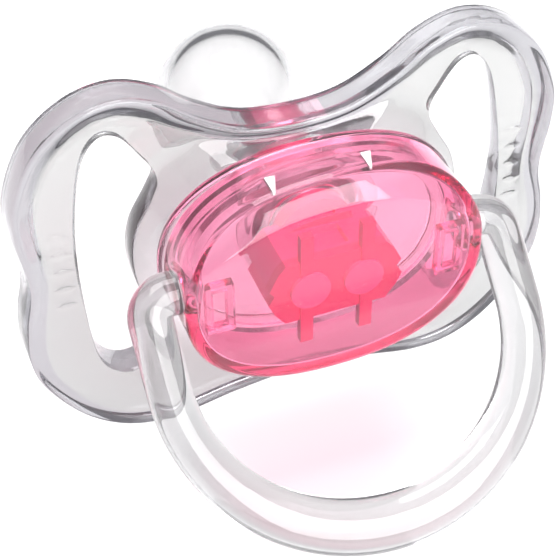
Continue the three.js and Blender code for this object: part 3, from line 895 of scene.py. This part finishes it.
def plastic(name, tint, ior, shadow=CLEAR_SHADOW, clear=1.0, absorb=None, rough=(0.02, 0.06),
            bump=0.02, middle=None, painted_light_colours=None):
    """Plastic with faintly uneven colour and gloss and slow waves in its surface. The share
    `clear` lets light through; lamps shine through it in the colour `shadow`, so its shadow is
    a light one; `absorb` is the colour and density of what is inside it."""
    material = bpy.data.materials.new(name)
    material.use_nodes = True
    tree = material.node_tree
    links = tree.links
    shader, output = tree.nodes["Principled BSDF"], tree.nodes["Material Output"]
    shader.inputs["Transmission Weight"].default_value = clear
    shader.inputs["IOR"].default_value = ior
    where = add(tree, "ShaderNodeTexCoord").outputs["Object"]
    cloud = add(tree, "ShaderNodeTexNoise", Scale=CLOUD_SCALE, Detail=3)
    wave = add(tree, "ShaderNodeTexNoise", Scale=WAVE_SCALE, Detail=1)
    shade = add(tree, "ShaderNodeValToRGB")
    dark, light = shade.color_ramp.elements
    dark.position, dark.color = TINT_RANGE[0], (*[c * FAINT for c in tint], 1)
    light.position, light.color = TINT_RANGE[1], (*tint, 1)
    gloss = add(tree, "ShaderNodeMapRange", From_Min=GLOSS_RANGE[0], From_Max=GLOSS_RANGE[1],
                To_Min=rough[0], To_Max=rough[1])
    relief = add(tree, "ShaderNodeBump", Strength=bump, Distance=WAVE_DEPTH)
    links.new(where, cloud.inputs["Vector"])
    links.new(where, wave.inputs["Vector"])
    links.new(cloud.outputs["Fac"], shade.inputs["Fac"])
    links.new(cloud.outputs["Fac"], gloss.inputs["Value"])
    links.new(wave.outputs["Fac"], relief.inputs["Height"])
    tinted = shade.outputs["Color"]
    # painted light: the shield's tint lightened behind the knob
    if middle:
        tinted = painted_light_middle(tree, where, tinted, middle)
    if painted_light_colours:
        tinted = paint_light_on_faces(tree, tinted, painted_light_colours)
    links.new(tinted, shader.inputs["Base Color"])
    links.new(gloss.outputs["Result"], shader.inputs["Roughness"])
    links.new(relief.outputs["Normal"], shader.inputs["Normal"])
    if shadow:
        rays = add(tree, "ShaderNodeLightPath")
        passing = add(tree, "ShaderNodeBsdfTransparent", Color=(*shadow, 1))
        choose = add(tree, "ShaderNodeMixShader")
        links.new(rays.outputs["Is Shadow Ray"], choose.inputs["Fac"])
        links.new(shader.outputs["BSDF"], choose.inputs[1])
        links.new(passing.outputs["BSDF"], choose.inputs[2])
        links.new(choose.outputs["Shader"], output.inputs["Surface"])
    if absorb:
        colour, density = absorb
        volume = add(tree, "ShaderNodeVolumeAbsorption", Color=(*colour, 1), Density=density)
        links.new(volume.outputs["Volume"], output.inputs["Volume"])
    return material


def floor_material():
    """A matt, pale floor with a faint variation."""
    material = bpy.data.materials.new("pale_floor")
    material.use_nodes = True
    tree = material.node_tree
    shader = tree.nodes["Principled BSDF"]
    cloud = add(tree, "ShaderNodeTexNoise", Scale=6)
    shade = add(tree, "ShaderNodeValToRGB")
    shade.color_ramp.elements[0].color = (0.93, 0.93, 0.935, 1)
    shade.color_ramp.elements[1].color = (0.96, 0.96, 0.96, 1)
    tree.links.new(cloud.outputs["Fac"], shade.inputs["Fac"])
    tree.links.new(shade.outputs["Color"], shader.inputs["Base Color"])
    shader.inputs["Roughness"].default_value = 0.9
    shader.inputs["Specular IOR Level"].default_value = 0.0
    return material


RING = plastic("ring_plastic", (0.81, 0.81, 0.805), 1.49, clear=0.92, absorb=RING_SMOKE)
# the rim painted darker is painted shade; the notch wall painted pink is a painted reflection of
# the pink knob
# the shield's tint lightened behind the knob is painted light
SHIELD = plastic("shield_plastic", (0.63, 0.63, 0.622), 1.49, clear=0.94, absorb=SHIELD_SMOKE,
                 middle=(0.97, 0.97, 0.97), painted_light_colours=((0.50, 0.49, 0.53), (1.0, 0.62, 0.78)))
SILICONE = plastic("clear_silicone", (0.95, 0.948, 0.945), 1.41, clear=0.96, bump=0.04,
                   rough=(0.03, 0.10), absorb=SILICONE_SMOKE)
PINK = plastic("pink_plastic", (1.0, 0.64, 0.77), 1.45, shadow=PINK_SHADOW, clear=0.955,
               absorb=(PINK_GLASS, 600))
BASE_PINK = plastic("pale_pink_base", (1.0, 0.92, 0.95), 1.46, shadow=PINK_SHADOW, clear=0.98,
                    absorb=(PINK_GLASS, 120))
# painted light: the plug is one plastic drawn as lit and shaded copies, its body painted lighter
# than its plate and its posts lighter still
DEEP_PINK, BODY_PINK_PAINTED_LIGHTER, POSTS_PINK_PAINTED_LIGHTER = (
    plastic(name, tint, 1.5, shadow=PLUG_SHADOW, clear=0, rough=(0.16, 0.3))
    for name, tint in (("deep_pink_plastic", (0.95, 0.0, 0.19)),
                       ("body_pink_painted_lighter", (1.0, 0.03, 0.28)),
                       ("posts_pink_painted_lighter", (1.0, 0.17, 0.43))))
# painted highlight: the catches' pale opaque pink stands in for the white glints on the cover's top
PAINTED_HIGHLIGHT_PINK = plastic("painted_highlight_pink", (1.0, 0.9, 0.93), 1.5, shadow=None, clear=0)

# ------------------------------------------------------------------ build

PIECES = [
    (make_shield, "shield", "soother", SHIELD, "clear_plastic"),
    (make_teat, "teat", "soother", SILICONE, "silicone"),
    (make_base, "knob_base", "soother", BASE_PINK, "pink_plastic"),
    (make_plug, "teat_plug", "soother", DEEP_PINK, "deep_pink_plastic"),
    (make_plug_body, "teat_plug", "soother", BODY_PINK_PAINTED_LIGHTER, "deep_pink_plastic"),
    (make_bosses, "teat_plug", "soother", POSTS_PINK_PAINTED_LIGHTER, "deep_pink_plastic"),
    (make_cover, "knob_cover", "soother", PINK, "pink_plastic"),
    (make_catches, "knob_cover", "soother", PAINTED_HIGHLIGHT_PINK, "pink_plastic"),
    (make_ring, "ring_handle", "ring", RING, "clear_plastic"),
]
for make, node, body, material, slot in PIECES:
    piece = make()
    piece.data.materials.clear()
    piece.data.materials.append(material)
    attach(piece, body)
    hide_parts(node)

# ------------------------------------------------------------------ floor, light and camera

bpy.ops.mesh.primitive_plane_add(size=3.0, location=(0, 0, FLOOR * MM))
floor = bpy.context.object
floor.name = "floor"
floor.data.materials.append(floor_material())


def soft_box(name, location, target, size, power):
    """A rectangular lamp that faces a target; places and sizes in metres."""
    data = bpy.data.lights.new(name, "AREA")
    data.shape = "RECTANGLE"
    data.size, data.size_y = size
    data.energy = power
    lamp = bpy.data.objects.new(name, data)
    bpy.context.scene.collection.objects.link(lamp)
    lamp.location = location
    lamp.rotation_euler = (Vector(target) - Vector(location)).to_track_quat("-Z", "Y").to_euler()


soft_box("top_softbox", (0, 0.05, 0.45), (0, 0.02, 0), (0.30, 0.24), 1.4)
soft_box("front_softbox", (0.08, -0.38, 0.21), (0, 0, 0), (0.32, 0.34), 2.5)

world = bpy.data.worlds.new("studio")
bpy.context.scene.world = world
world.use_nodes = True
sky = world.node_tree
upwards = add(sky, "ShaderNodeTexCoord")
split = add(sky, "ShaderNodeSeparateXYZ")
ramp = add(sky, "ShaderNodeValToRGB")
low, high = ramp.color_ramp.elements
low.position, low.color = SKY_STOPS[0], SKY_LOW
high.position, high.color = SKY_STOPS[2], SKY_HIGH
ramp.color_ramp.elements.new(SKY_STOPS[1]).color = SKY_LOW
sky.links.new(upwards.outputs["Generated"], split.inputs["Vector"])
sky.links.new(split.outputs["Z"], ramp.inputs["Fac"])
sky.links.new(ramp.outputs["Color"], sky.nodes["Background"].inputs["Color"])
sky.nodes["Background"].inputs["Strength"].default_value = 1.0

camera_data = bpy.data.cameras.new("camera")
camera_data.sensor_width = 36
camera_data.lens = CAMERA_LENS
camera_data.clip_start = 0.005
camera_data.clip_end = 10
camera = bpy.data.objects.new("camera", camera_data)
bpy.context.scene.collection.objects.link(camera)
camera.location = CAMERA_PLACE
camera.rotation_euler = Vector(CAMERA_AIM).to_track_quat("-Z", "Y").to_euler()
camera.rotation_euler.rotate_axis("Z", CAMERA_ROLL)
bpy.context.scene.camera = camera

scene = bpy.context.scene
scene.view_settings.view_transform = "Standard"
scene.cycles.max_bounces = 18
scene.cycles.transmission_bounces = 18
scene.cycles.transparent_max_bounces = 24
scene.cycles.glossy_bounces = 8
scene.cycles.caustics_reflective = False
scene.cycles.caustics_refractive = False
